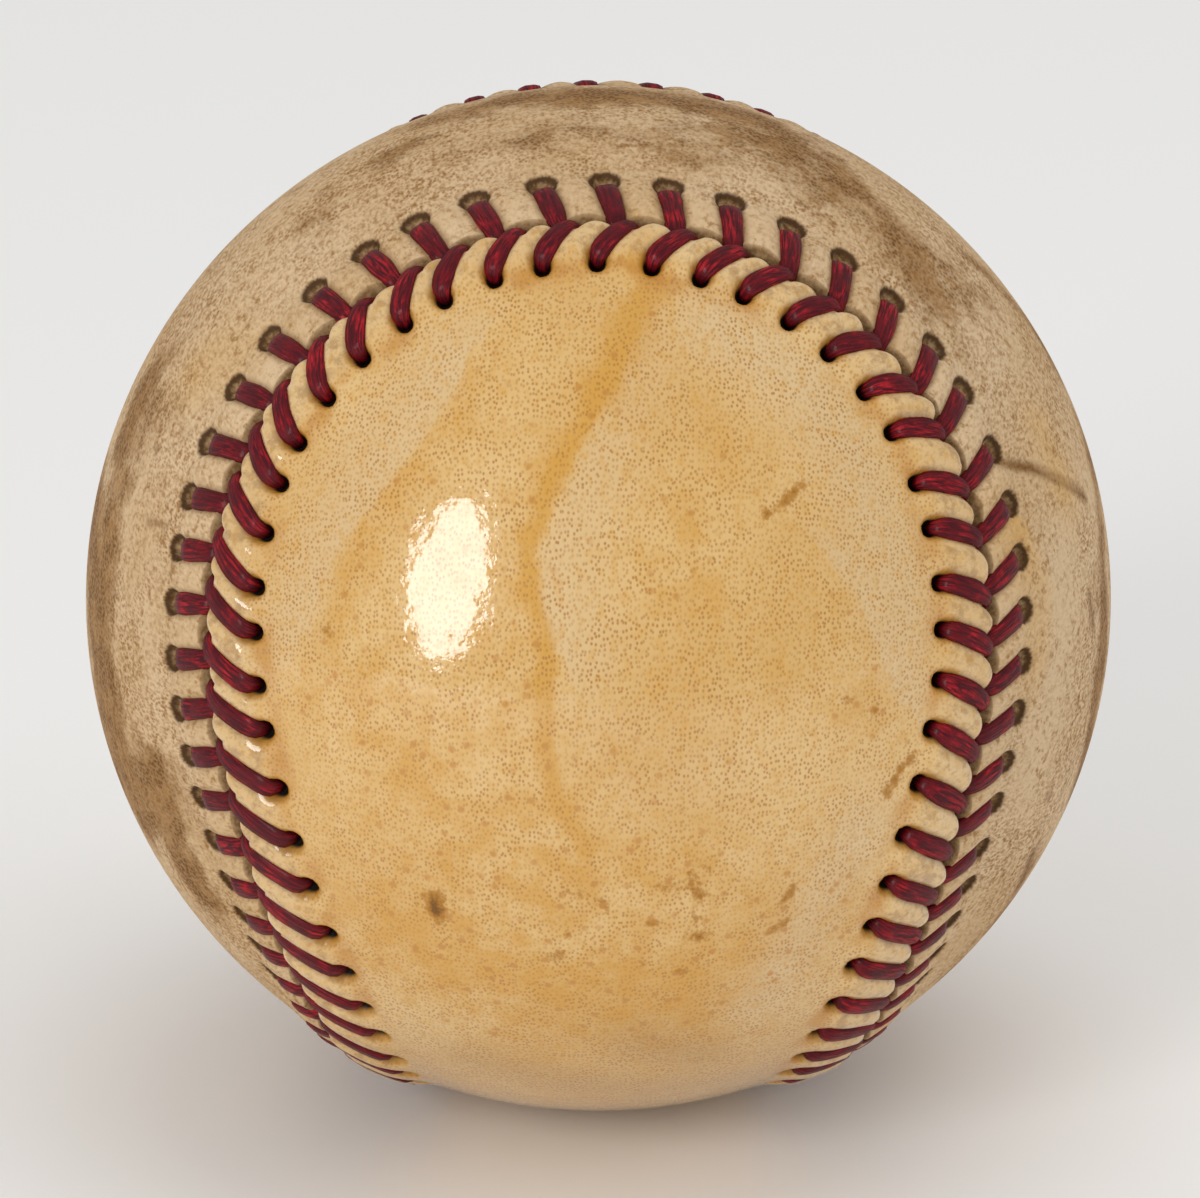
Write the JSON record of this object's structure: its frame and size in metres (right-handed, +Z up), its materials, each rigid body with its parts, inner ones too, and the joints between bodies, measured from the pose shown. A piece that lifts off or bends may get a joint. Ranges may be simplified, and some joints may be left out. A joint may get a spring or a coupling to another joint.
{
  "type": "baseball",
  "caption": "Round baseball: cork and rubber centre, wound wool yarn, and two figure-eight leather covers joined by raised red stitching.",
  "frame": {"origin": "centre of the ball", "axes": "+Z up, through the necks of the two covers; -Y towards the viewer, through the broad lobe of the lower cover"},
  "size_m": [0.074, 0.074, 0.0738],
  "materials": {
    "cork": "matte",
    "black_rubber": "matte",
    "red_rubber": "matte",
    "grey_wool": "matte",
    "white_wool": "matte",
    "white_cotton": "matte",
    "rubber_cement": "satin",
    "front_leather": "satin",
    "side_leather": "matte",
    "red_thread": "satin"
  },
  "bodies": {
    "root": {"cork_core": "cork", "inner_cup_lower": "black_rubber", "inner_cup_upper": "black_rubber", "inner_cup_gasket": "red_rubber", "outer_cup_left": "red_rubber", "outer_cup_right": "red_rubber", "first_winding": "grey_wool", "second_winding": "white_wool", "third_winding": "grey_wool", "finish_winding": "white_cotton", "cement_coat": "rubber_cement", "lower_cover": "front_leather", "upper_cover": "side_leather", "stitch_thread_1": "red_thread", "stitch_thread_2": "red_thread"}
  },
  "joints": []
}
